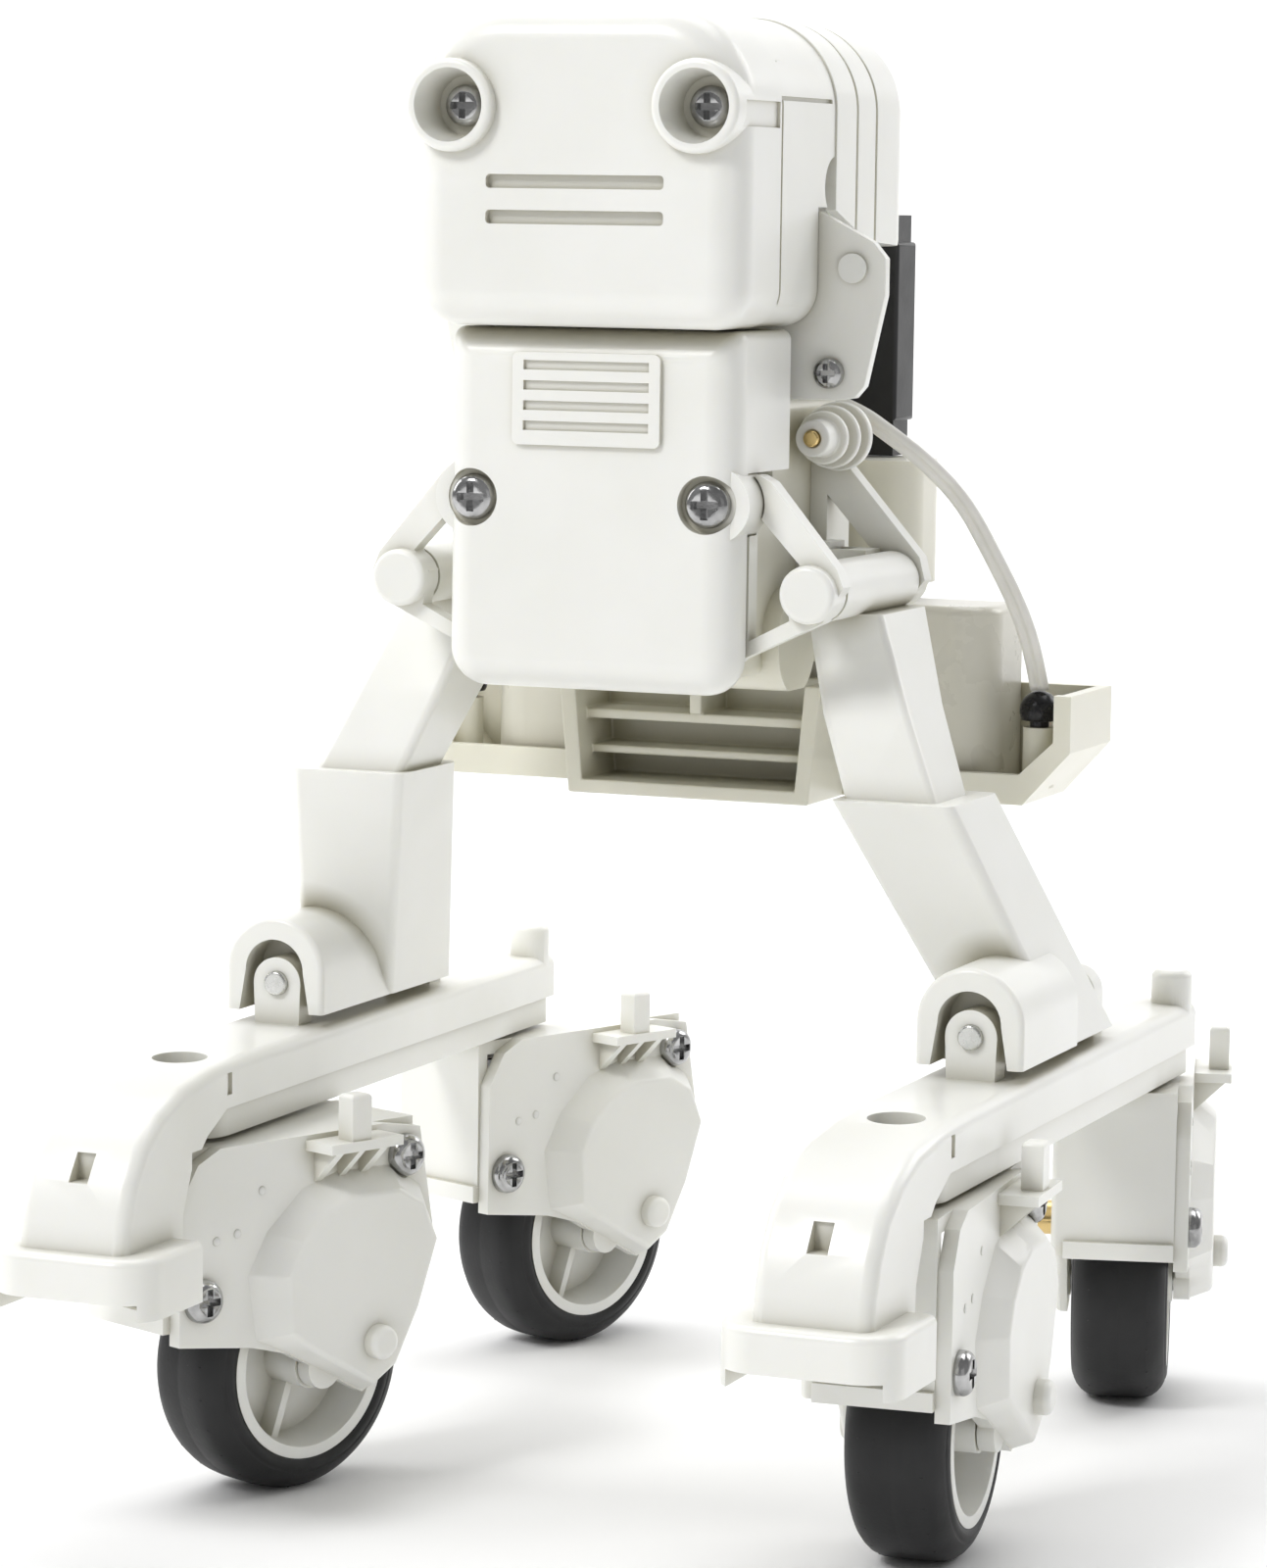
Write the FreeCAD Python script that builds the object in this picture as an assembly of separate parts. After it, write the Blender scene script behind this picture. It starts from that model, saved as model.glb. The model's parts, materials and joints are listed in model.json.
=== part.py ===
import FreeCAD, Part
import math
import os

# Two-legged roller-skating robot kit. Front faces -Y, +X is the robot's left, +Z up, millimetres.
# Everything is laid out about the hip mid-plane X = 0 with the tyres standing on Z = 0, then the
# whole assembly is shifted so that the origin is at the bottom centre of its box.

V = FreeCAD.Vector

# ---- driving dimensions -------------------------------------------------------------------
HEAD_W, HEAD_Z0, HEAD_Z1 = 41.2, 141.0, 177.7
HEAD_Y0, HEAD_SEAM1, HEAD_SEAM2, HEAD_Y1 = -39.8, -27.2, -8.4, 19.5
TOP_R, CHIN_R, FACE_R = 11.0, 4.6, 4.2
EYE_X, EYE_Z, EYE_R, EYE_HOLE_R = 15.3, 166.4, 5.4, 4.3
TORSO_W, TORSO_Z0, TORSO_Y0 = 36.8, 98.4, -35.0
CHEST_X, CHEST_Z = 14.8, 120.8
HIP_X, HIP_Z, HIP_R = 26.0, 110.6, 3.4
ANKLE_X, ANKLE_Z = 45.0, 59.4
PIN_R, RUN = 1.5, 0.06
DECK_TOP, DECK_BOT, RAIL_BOT, DECK_HALF = 54.3, 48.6, 44.9, 7.0
PIVOT_F, PIVOT_R = -50.2, 38.0
TRAIL, TYRE_R, TYRE_W, RIM_R = 15.5, 15.7, 12.4, 11.6
SWIVEL = {"front_left": -4.0, "front_right": 23.0, "rear_left": -15.0, "rear_right": 22.0}
GEAR_M = 0.75
CRANK_R, YOKE_Y, YOKE_Z = 1.3, -4.0, 112.0


# ---- helpers ------------------------------------------------------------------------------
def box(x0, x1, y0, y1, z0, z1):
    return Part.makeBox(x1 - x0, y1 - y0, z1 - z0, V(x0, y0, z0))


def cylx(y, z, x0, x1, r):
    return Part.makeCylinder(r, x1 - x0, V(x0, y, z), V(1, 0, 0))


def cyly(x, z, y0, y1, r):
    return Part.makeCylinder(r, y1 - y0, V(x, y0, z), V(0, 1, 0))


def cylz(x, y, z0, z1, r):
    return Part.makeCylinder(r, z1 - z0, V(x, y, z0), V(0, 0, 1))


def prism(pts, plane, a, b):
    if plane == "xz":
        p = [V(u, a, v) for u, v in pts]
        d = V(0, b - a, 0)
    elif plane == "yz":
        p = [V(a, u, v) for u, v in pts]
        d = V(b - a, 0, 0)
    else:
        p = [V(u, v, a) for u, v in pts]
        d = V(0, 0, b - a)
    f = Part.Face(Part.makePolygon(p + [p[0]]))
    return f.extrude(d)


def loft(sections):
    return Part.makeLoft([Part.makePolygon([V(*q) for q in s] + [V(*s[0])]) for s in sections], True, True)


def fuse(*shapes):
    s = shapes[0]
    for t in shapes[1:]:
        s = s.fuse(t)
    return s.removeSplitter()


def cut(s, *tools):
    for t in tools:
        s = s.cut(t)
    return s


def fillet(s, r, pick, name=""):
    for k in (1.0, 0.8, 0.6, 0.4, 0.25):
        edges = [e for e in s.Edges if pick(e, e.CenterOfMass)]
        if not edges:
            print("no edge for fillet", name)
            return s
        try:
            t = s.makeFillet(r * k, edges)
            if t.isValid() and t.Volume > 0:
                if k < 1:
                    print("fillet", name, "at", round(r * k, 2))
                return t
        except Exception:
            pass
    print("fillet skipped", name)
    return s


def mirror_x(s):
    return s.mirror(V(0, 0, 0), V(1, 0, 0))


def both(s):
    return Part.makeCompound([s, mirror_x(s)])


def rrect(x0, x1, z0, z1, r_top, r_bot, y0, y1):
    k = math.sqrt(0.5)
    e = []

    def arc(cx, cz, r, a0):
        p = [V(cx + r * math.cos(a), y0, cz + r * math.sin(a)) for a in (a0, a0 + math.pi / 4, a0 + math.pi / 2)]
        e.append(Part.Arc(*p).toShape())

    def line(a, b):
        e.append(Part.LineSegment(V(a[0], y0, a[1]), V(b[0], y0, b[1])).toShape())

    arc(x1 - r_top, z1 - r_top, r_top, 0)
    line((x1 - r_top, z1), (x0 + r_top, z1))
    arc(x0 + r_top, z1 - r_top, r_top, math.pi / 2)
    line((x0, z1 - r_top), (x0, z0 + r_bot))
    arc(x0 + r_bot, z0 + r_bot, r_bot, math.pi)
    line((x0 + r_bot, z0), (x1 - r_bot, z0))
    arc(x1 - r_bot, z0 + r_bot, r_bot, 1.5 * math.pi)
    line((x1, z0 + r_bot), (x1, z1 - r_top))
    return Part.Face(Part.Wire(e)).extrude(V(0, y1 - y0, 0))


def screw(x, y, z, head_r=2.5, head_h=1.7, shank_r=1.3, length=9.0, axis="y"):
    """Round-head tapping screw with a cross recess, head's top at the point, shank going +Y."""
    h = cyly(x, z, y, y + head_h, head_r)
    h = fillet(h, head_h * 0.7, lambda e, c: abs(c.y - y) < 1e-6, "screw")
    s = fuse(h, cyly(x, z, y + head_h, y + head_h + length, shank_r))
    a, b = head_r * 0.62, head_r * 0.17
    return cut(s, box(x - a, x + a, y - 1, y + head_h * 0.6, z - b, z + b), box(x - b, x + b, y - 1, y + head_h * 0.6, z - a, z + a))


def gear(teeth, x, z, y0, y1, bore, backlash=0.22):
    """Spur gear about Y, straight-flanked stub teeth, tooth centre on local angle 0."""
    rp = GEAR_M * teeth / 2.0
    ro, rr = rp + 0.75 * GEAR_M, rp - 1.0 * GEAR_M
    pts = []
    half = math.pi / teeth / 2.0
    for i in range(teeth):
        a = 2 * math.pi * i / teeth
        wr = half * 1.42 - backlash / 2 / rr
        wp = half - backlash / 2 / rp
        wo = half * 0.50 - backlash / 4 / ro
        for r, w in ((rr, -wr), (rp, -wp), (ro, -wo), (ro, wo), (rp, wp), (rr, wr)):
            pts.append((x + r * math.cos(a + w), z + r * math.sin(a + w)))
    g = prism(pts, "xz", y0, y1)
    return cut(g, cyly(x, z, y0 - 1, y1 + 1, bore)) if bore else g


NODES = {}


def node(name, shape):
    NODES[name] = shape


# ---- head ---------------------------------------------------------------------------------
hx = HEAD_W / 2
t = 1.5
face = rrect(-hx, hx, HEAD_Z0, HEAD_Z1, TOP_R, CHIN_R, HEAD_Y0, HEAD_SEAM1)
face = fillet(face, FACE_R, lambda e, c: abs(c.y - HEAD_Y0) < 1e-6, "face")
inner = rrect(-hx + t, hx - t, HEAD_Z0 + t, HEAD_Z1 - t, TOP_R - t, CHIN_R - t, HEAD_Y0 + t, HEAD_SEAM1 + 1)
inner = fillet(inner, FACE_R - t, lambda e, c: abs(c.y - (HEAD_Y0 + t)) < 1e-6, "face inner")
face = cut(face, inner)
for s in (-1, 1):
    tube = cyly(s * EYE_X, EYE_Z, -41.4, -29.0, EYE_R)
    tube = fillet(tube, 0.7, lambda e, c: abs(c.y + 41.4) < 1e-6, "eye")
    face = fuse(face, tube)
for s in (-1, 1):
    hole = Part.makeCone(EYE_HOLE_R, 3.5, 5.8, V(s * EYE_X, -41.5, EYE_Z), V(0, 1, 0))
    face = cut(face, hole, cyly(s * EYE_X, EYE_Z, -36.0, -28.0, 1.35))
for z in (157.7, 153.6):
    slot = fillet(box(-11.1, 11.1, -40.5, -38.9, z - 0.8, z + 0.8), 0.5, lambda e, c: abs(abs(c.x) - 11.1) < 1e-6 and abs(c.y + 39.7) < 0.2, "mouth")
    face = cut(face, slot)
for s in (-1, 1):
    face = cut(face, box(*(sorted((s * 20.2, s * 21.0))), -38.6, -27.6, 164.2, 167.2))
node("head_front_shell", face)

mid = rrect(-hx + 0.25, hx - 0.25, HEAD_Z0 + 0.1, HEAD_Z1 - 0.25, TOP_R, CHIN_R, HEAD_SEAM1, HEAD_SEAM2)
mid = cut(mid, rrect(-hx + 1.7, hx - 1.7, HEAD_Z0 + 1.5, HEAD_Z1 - 1.7, TOP_R - 1.4, CHIN_R - 1.4, HEAD_SEAM1 - 1, HEAD_SEAM2 + 1))
mid = cut(mid, box(-40, 40, -13.7, 0, 130, 155.2))
mid = cut(mid, cylx(-8.0, 157.6, -40, 40, 3.6))
rib = fuse(box(-hx + 1.6, hx - 1.6, -25.0, -23.2, 158.5, 172.0), box(-9, 9, -25.0, -23.2, 142.5, 160))
for s in (-1, 1):
    post = cyly(s * EYE_X, EYE_Z, -28.9, -20.0, 3.0)
    rib = fuse(rib, post)
for s in (-1, 1):
    rib = cut(rib, cyly(s * EYE_X, EYE_Z, -30, -19, 1.3))
mid = fuse(mid, rib)
for s in (-1, 1):
    xs = sorted((s * (hx - 0.7), s * (hx - 0.2)))
    mid = cut(mid, box(xs[0], xs[1], -26.4, -25.9, 143, 167.9), box(xs[0], xs[1], -26.4, -9.4, 167.4, 167.9))
node("head_mid_frame", mid)

rear = rrect(-hx, hx, 148.0, HEAD_Z1 - 0.1, TOP_R, 3.0, HEAD_SEAM2, HEAD_Y1)
rear = fillet(rear, 6.5, lambda e, c: abs(c.y - HEAD_Y1) < 1e-6 and c.z > 152, "rear")
rear = cut(rear, rrect(-hx + 1.5, hx - 1.5, 140, HEAD_Z1 - 1.6, TOP_R - 1.5, 1.0, HEAD_SEAM2 - 1, HEAD_Y1 - 6.0), rrect(-hx + 6, hx - 6, 140, HEAD_Z1 - 6, TOP_R - 4, 1.0, HEAD_SEAM2 - 1, HEAD_Y1 - 1.5))
rear = cut(rear, prism([(-20, 140), (-20, 154.8), (-8.0, 154.8), (3.0, 151.2), (20, 150.4), (20, 140)], "yz", -30, 30))
for y in (-1.6, 5.2):
    g = rrect(-hx - 2, hx + 2, 140, HEAD_Z1 + 2, 1.0, 1.0, y, y + 0.7)
    g = cut(g, rrect(-hx + 0.35, hx - 0.35, 138, HEAD_Z1 - 0.45, TOP_R - 0.35, 1.0, y - 1, y + 2))
    rear = cut(rear, g)
node("head_rear_shell", rear)

# ---- torso --------------------------------------------------------------------------------
tx = TORSO_W / 2
cov = rrect(-tx, tx, TORSO_Z0, 140.8, 1.2, 4.6, TORSO_Y0, -17.0)
cov = fillet(cov, 3.9, lambda e, c: abs(c.y - TORSO_Y0) < 1e-6 and c.z < 139.5, "torso")
cov = cut(cov, box(-30, 30, -30.4, 0, 80, 124.4))
cov = cut(cov, rrect(-tx + 1.4, tx - 1.4, TORSO_Z0 + 1.6, 139.4, 1.0, 3.2, TORSO_Y0 + 1.7, 0))
for s in (-1, 1):
    cov = fuse(cov, cyly(s * CHEST_X * 1.04, CHEST_Z, -33.6, -27.2, 4.5))
for s in (-1, 1):
    cov = cut(cov, cyly(s * CHEST_X, CHEST_Z, -36, -33.4, 3.4), cyly(s * CHEST_X, CHEST_Z, -36, -26, 1.35))
panel = fillet(box(-9.3, 9.3, -35.6, -34.0, 127.2, 138.0), 0.8, lambda e, c: abs(abs(c.x) - 9.3) < 1e-6 and abs(c.y + 34.8) < 0.2, "panel")
cov = fuse(cov, panel)
for i in range(4):
    z = 128.9 + i * 2.35
    cov = cut(cov, box(-7.9, 7.9, -36, -35.15, z, z + 1.1))
node("torso_front_cover", cov)

case = box(-15.2, 15.2, -26.5, 12.0, 99.6, 132.2)
case = fillet(case, 1.5, lambda e, c: abs(abs(c.x) - 15.2) < 1e-6 and abs(c.y - 12.0) > 0.1, "case")
bulge = cut(cylx(-10.5, 103.4, -17.4, 17.4, 6.4), box(-30, 30, -40, 40, 80, 97.6))
case = fuse(case, bulge)
case = cut(case, box(-13.4, 13.4, -24.7, 13, 101.6, 130.4))
case = cut(case, box(-20, 20, -23.8, -14.0, 121.6, 129.9))
case = cut(case, box(-20, 20, YOKE_Y - 1.7, YOKE_Y + 1.7, YOKE_Z - 3.2, YOKE_Z + 3.2))
node("gearbox_case", case)
gcov = fillet(box(-15.2, 15.2, 12.0, 13.3, 99.6, 132.2), 0.7, lambda e, c: abs(c.y - 13.3) < 1e-6, "gearbox cover")
node("gearbox_cover", gcov)

# front hip bracket: one plate with an open triangular ear each side and a blind boss on the hip axis
ear = [(-15, 124.2), (-15, 100.5), (-17.5, 102.6), (-27.5, 107.3), (-30.0, 111.5), (-29.2, 113.5), (-20.9, 123.4), (-19.4, 124.2)]
half = prism(ear, "xz", -29.4, -26.7)
half = cut(half, prism([(-18.3, 120.6), (-18.3, 104.8), (-23.4, 107.4), (-22.6, 111.5), (-24.6, 113.9)], "xz", -30, -26))
fb = fuse(half, mirror_x(half), box(-16, 16, -29.4, -26.7, 100.5, 106), box(-16, 16, -29.4, -26.7, 119, 124.2))
for k in (-1, 1):
    fb = fuse(fb, cyly(k * HIP_X, HIP_Z, -31.2, -26.7, HIP_R))
for k in (-1, 1):
    fb = cut(fb, cyly(k * HIP_X, HIP_Z, -30.0, -26, PIN_R))
fb = fillet(fb, 0.7, lambda e, c: abs(c.y + 31.2) < 1e-6, "hip boss")
fb = cut(fb, cyly(CHEST_X * 1.04, CHEST_Z, -30, -27.1, 4.7), cyly(-CHEST_X * 1.04, CHEST_Z, -30, -27.1, 4.7), cyly(CHEST_X, CHEST_Z, -30, -26, 1.3), cyly(-CHEST_X, CHEST_Z, -30, -26, 1.3))
node("front_hip_bracket", fb)
# rear hip brackets: a strut from each side wall of the gearbox, with a foot flange
rear_ear = [(-15.2, 125.2), (-15.2, 121.0), (-17.0, 121.0), (-24.6, 112.6), (-22.9, 109.4), (-15.2, 106.2), (-15.2, 102.6), (-17.5, 103.4), (-27.2, 107.2), (-30.1, 110.6), (-29.4, 113.4), (-19.6, 124.6), (-18.8, 125.2)]
rb = fuse(prism(rear_ear, "xz", -0.9, 1.7), box(-17.4, -15.2, -0.9, 7.0, 101.5, 125.2), cyly(-HIP_X, HIP_Z, -0.9, 3.0, HIP_R))
rb = fillet(rb, 0.7, lambda e, c: abs(c.y - 3.0) < 1e-6, "rear hip boss")
rb = cut(rb, cyly(-HIP_X, HIP_Z, -2, 1.8, PIN_R))
node("rear_hip_brackets", both(rb))

wing = [(-28.8, 145.0), (-26.4, 134.2), (-25.2, 132.8), (-23.2, 132.5), (23.2, 132.5), (25.2, 132.8), (26.4, 134.2), (28.8, 145.0), (28.8, 149.3), (27.2, 151.2), (20.5, 154.7), (-20.5, 154.7), (-27.2, 151.2), (-28.8, 149.3)]
wp = prism(wing, "xz", -13.5, -11.9)
for s in (-1, 1):
    wp = cut(wp, cyly(s * 24.8, 148.1, -14, -11, 1.5), cyly(s * 22.0, 135.7, -14, -11, 1.3))
node("wing_plate", wp)
wf = []
for s in (-1, 1):
    p = fuse(cyly(s * 24.8, 148.1, -14.1, -13.5, 1.75), cyly(s * 24.8, 148.1, -13.5, -10.6, 1.5))
    wf += [p, screw(s * 22.0, -15.0, 135.7, head_r=1.85, head_h=1.5, shank_r=1.3, length=3.6)]
node("wing_fasteners", Part.makeCompound(wf))

fs = []
for s in (-1, 1):
    fs += [screw(s * EYE_X, -37.3, EYE_Z, head_r=2.45, head_h=1.6, shank_r=1.3, length=12.0),
           screw(s * CHEST_X, -35.1, CHEST_Z, head_r=2.75, head_h=1.7, shank_r=1.3, length=6.6)]
node("front_screws", Part.makeCompound(fs))

# stepped sleeve carrying the idler shaft's end on each side
sb, sh = [], []
for s in (-1, 1):
    b = fuse(cyly(s * 19.4, 127.8, -12.0, 2.0, 2.2), cyly(s * 19.4, 127.8, -8.6, -7.6, 3.2), cyly(s * 19.4, 127.8, -6.0, -5.0, 3.8), cyly(s * 19.4, 127.8, -3.2, -2.0, 4.2))
    b = cut(b, cyly(s * 19.4, 127.8, -13, 3, 1.0))
    b = cut(b, box(-15.2, 15.2, -30, 30, 90, 140))
    sb.append(b)
    sh.append(cyly(s * 19.4, 127.8, -12.6, 2.6, 1.0))
node("shaft_bushes", Part.makeCompound(sb))
node("idler_shafts", Part.makeCompound(sh))

# ---- belly box and battery ----------------------------------------------------------------
bp = [(-17.4, 97.2), (-15.9, 82.5), (15.9, 82.5), (17.4, 97.2)]
bb = prism(bp, "xz", -2.0, 10.5)
bb = cut(bb, prism([(-15.4, 99), (-14.1, 84.2), (14.1, 84.2), (15.4, 99)], "xz", -3.0, 8.8))
bb = fuse(bb, box(-15.0, 15.0, 1.0, 9.0, 91.6, 92.8), box(-14.6, 14.6, 2.0, 9.0, 87.2, 88.2), box(-0.8, 0.8, 0.4, 9.0, 92.8, 97.2))
node("belly_box", bb)

tr = prism([(-45.0, 96.2), (-45.0, 89.2), (-39.0, 82.5), (39.0, 82.5), (45.0, 89.2), (45.0, 96.2)], "xz", 11.5, 28.5)
tr = cut(tr, prism([(-43.4, 98), (-43.4, 89.9), (-38.3, 84.1), (38.3, 84.1), (43.4, 89.9), (43.4, 98)], "xz", 13.1, 26.9))
tr = cut(tr, prism([(-42.8, 98), (-42.8, 90.4), (-38.4, 86.2), (38.4, 86.2), (42.8, 90.4), (42.8, 98)], "xz", 10, 13.5))
for s in (-1, 1):
    tr = fuse(tr, cylz(s * 38.8, 18.5, 84.1, 91.6, 2.0))
    tr = cut(tr, cylz(s * 38.8, 18.5, 86.0, 92.0, 1.2))
tr = fuse(tr, box(-14, 14, 26.9, 28.5, 84.1, 99.4))
node("battery_tray", tr)

bc = box(-33.8, 33.8, 13.4, 26.6, 84.4, 106.4)
bc = fillet(bc, 5.5, lambda e, c: abs(c.x - 33.8) < 1e-6 and abs(c.y - 13.4) < 1e-6 or abs(c.x + 33.8) < 1e-6 and abs(c.y - 13.4) < 1e-6, "battery cover")
bc = fillet(bc, 1.2, lambda e, c: abs(c.z - 106.4) < 1e-6, "battery cover top")
bc = cut(bc, box(-27.5, 27.5, 14.6, 25.6, 83, 105.2))
node("battery_cover", bc)
cells = []
for z in (89.9, 100.0):
    c = fuse(cylx(20.1, z, -22.3, 21.5, 4.95), cylx(20.1, z, 21.5, 22.7, 1.7))
    cells.append(c)
node("battery_cells", Part.makeCompound(cells))
ts = []
for s in (-1, 1):
    b = Part.makeSphere(2.5, V(s * 38.8, 18.5, 93.6))
    b = cut(b, box(s * 38.8 - 4, s * 38.8 + 4, 14, 23, 90, 92.4))
    b = fuse(b, cylz(s * 38.8, 18.5, 86.2, 92.4, 1.2))
    ts.append(b)
node("terminal_screws", Part.makeCompound(ts))

rh = box(-22.5, 22.5, 16.4, 31.0, 108.6, 124.0)
rh = fillet(rh, 7.0, lambda e, c: abs(abs(c.x) - 22.5) < 1e-6 and abs(c.y - 31) < 1e-6, "rear housing")
rh = fillet(rh, 4.0, lambda e, c: abs(abs(c.x) - 22.5) < 1e-6 and abs(c.y - 16.4) < 1e-6, "rear housing front")
rh = cut(rh, box(-19, 19, 18.0, 29.2, 106, 122.4))
node("rear_housing", rh)
rc = box(-17.0, 17.0, 24.5, 31.5, 128.6, 151.0)
rc = fuse(rc, box(-16.4, 16.4, 25.4, 31.0, 124.2, 154.4))
rc = fillet(rc, 0.9, lambda e, c: abs(abs(c.x) - 17.0) < 1e-6, "receiver")
rc = cut(rc, box(-15.5, 15.5, 26.0, 30.2, 130.2, 149.4))
node("receiver_case", rc)
kn = []
for s in (-1, 1):
    kn.append(fuse(cyly(s * 14.8, 152.6, 21.8, 25.4, 1.5), cyly(s * 14.8, 152.6, 20.6, 21.9, 1.1)))
node("receiver_studs", Part.makeCompound(kn))

# ---- drive, all inside the gearbox: motor, pinion, reduction gear, crank gear, lifting yoke ----
def gear_x(teeth, y, z, x0, x1, bore, turn=0.0):
    g = gear(teeth, 0, 0, 0, x1 - x0, 0)
    g.rotate(V(0, 0, 0), V(0, 0, 1), -90)
    g.rotate(V(0, 0, 0), V(1, 0, 0), turn)
    g.translate(V(x0, y, z))
    return cut(g, cylx(y, z, x0 - 1, x1 + 1, bore)) if bore else g


MY, MZ = -12.0, 109.3
Z1, Z2, Z3, Z4 = 10, 22, 10, 18
C12, C34 = GEAR_M * (Z1 + Z2) / 2, GEAR_M * (Z3 + Z4) / 2
RY = MY + 9.0
RZ = MZ + math.sqrt(C12 ** 2 - 9.0 ** 2)
KY = RY + 7.0
KZ = RZ - math.sqrt(C34 ** 2 - 7.0 ** 2)
mo = cylx(MY, MZ, -10.4, 4.6, 7.3)
mo = cut(mo, box(-11, 5, MY - 8, MY + 8, MZ + 6.0, MZ + 8), box(-11, 5, MY - 8, MY + 8, MZ - 8, MZ - 6.0))
mo = fuse(mo, cylx(MY, MZ, 4.6, 5.8, 3.0))
mo = cut(mo, cylx(MY, MZ, -9.0, 6.0, 1.05))
node("motor", mo)
a12 = math.degrees(math.atan2(RZ - MZ, RY - MY))
a34 = math.degrees(math.atan2(KZ - RZ, KY - RY))


def teeth_at(teeth, ang, on_tooth):
    """rotation that puts a tooth (or a gap) of the wheel on the direction ang in the Y-Z plane"""
    pitch = 360.0 / teeth
    return ang if on_tooth else ang + pitch / 2


pinion = fuse(gear_x(Z1, MY, MZ, 7.2, 9.4, 0, teeth_at(Z1, a12, True)), cylx(MY, MZ, -8.8, 7.2, 1.0))
node("motor_pinion", pinion)
t2 = teeth_at(Z2, a12 + 180, False)
red = gear_x(Z2, RY, RZ, 7.4, 9.2, 0, t2)
red = fuse(red, gear_x(Z3, RY, RZ, 4.9, 7.4, 0, teeth_at(Z3, a34, True)), cylx(RY, RZ, -13.3, 13.3, 1.1))
node("reduction_gear", red)
crk = gear_x(Z4, KY, KZ, 5.0, 7.1, 0, teeth_at(Z4, a34 + 180, False))
crk = fuse(crk, cylx(KY, KZ, 7.1, 13.3, 1.1), cylx(KY + CRANK_R, KZ, 2.6, 5.0, 0.8))
node("crank_gear", crk)
yk = []
for k in (-1, 1):
    xs = sorted((k * 10.6, k * 12.2))
    pl = prism([(YOKE_Y - 2.0, YOKE_Z - 2.2), (YOKE_Y + 2.0, YOKE_Z - 2.2), (9.8, 118.0), (9.8, 122.0), (6.6, 122.0), (YOKE_Y - 2.0, YOKE_Z + 2.4)], "yz", xs[0], xs[1])
    pl = cut(pl, cylx(RY, RZ, xs[0] - 1, xs[1] + 1, 2.9), cylx(KY, KZ, xs[0] - 1, xs[1] + 1, 2.9))
    xo = sorted((k * 12.0, k * 20.6))
    yk += [pl, cylx(YOKE_Y, YOKE_Z, xo[0], xo[1], 1.2)]
win = box(2.5, 4.4, KY - 5.0, KY + 5.0, KZ - 4.8, KZ + 4.8)
win = cut(win, box(2, 5, KY - 3.3, KY + 3.3, KZ - 3.4, KZ + 3.4))
yk += [cylx(8.2, 120.2, -11.0, 11.0, 1.2), win, box(2.5, 4.4, 7.0, 9.4, KZ + 4.0, 120.6)]
yoke = fuse(*yk)
node("lifting_yoke", yoke)
# bearing bosses for the gear shafts, moulded on the side walls of the case
for x0, x1 in ((-13.4, -12.4), (12.4, 13.4)):
    b1 = cut(cylx(RY, RZ, x0, x1, 2.3), cylx(RY, RZ, x0 - 1, x1 + 1, 1.1 + RUN))
    NODES["gearbox_case"] = fuse(NODES["gearbox_case"], b1)
NODES["gearbox_case"] = fuse(NODES["gearbox_case"], cut(cylx(KY, KZ, 12.4, 13.4, 2.3), cylx(KY, KZ, 11, 14, 1.1 + RUN)))

hip_pin = []
for s in (-1, 1):
    hip_pin.append(cyly(s * HIP_X, HIP_Z, -30.0, 1.8, PIN_R))
node("hip_pins", Part.makeCompound(hip_pin))

# ---- twin lead from behind the wing plate to the battery terminal ------------------------------
LEAD = [(15.9, 6.6, 131.2), (19.4, 5.0, 130.3), (23.7, 4.2, 127.7), (27.6, 6.0, 124.6), (31.3, 9.5, 119.8), (34.0, 12.0, 113.8), (37.0, 14.2, 107.0), (38.4, 16.6, 101.2), (38.8, 18.3, 96.3)]


def tube(pts, r):
    p = [V(*q) for q in pts]
    prev, edges, radii = p[0], [], []
    for i in range(1, len(p) - 1):
        a, b, c = p[i - 1], p[i], p[i + 1]
        u, w = (a - b), (c - b)
        lu, lw = u.Length, w.Length
        u.normalize()
        w.normalize()
        turn = math.pi - math.acos(max(-1, min(1, u.dot(w))))
        d = 0.45 * min(lu, lw)
        rad = d / math.tan(turn / 2)
        radii.append(rad)
        s0, s1 = b + u * d, b + w * d
        bis = u + w
        bis.normalize()
        cen = b + bis * math.sqrt(rad ** 2 + d ** 2)
        m = cen - bis * rad
        edges += [Part.LineSegment(prev, s0).toShape(), Part.Arc(s0, m, s1).toShape()]
        prev = s1
    edges.append(Part.LineSegment(prev, p[-1]).toShape())
    w = Part.Wire(edges)
    d0 = p[1] - p[0]
    prof = Part.Wire([Part.Circle(p[0], d0, r).toShape()])
    s = w.makePipeShell([prof], True, False)
    print("lead length", round(w.Length, 2), "volume ratio", round(s.Volume / (w.Length * math.pi * r * r), 4), "radii", [round(v, 1) for v in radii])
    return s


node("power_lead", tube(LEAD, 1.15))

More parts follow.
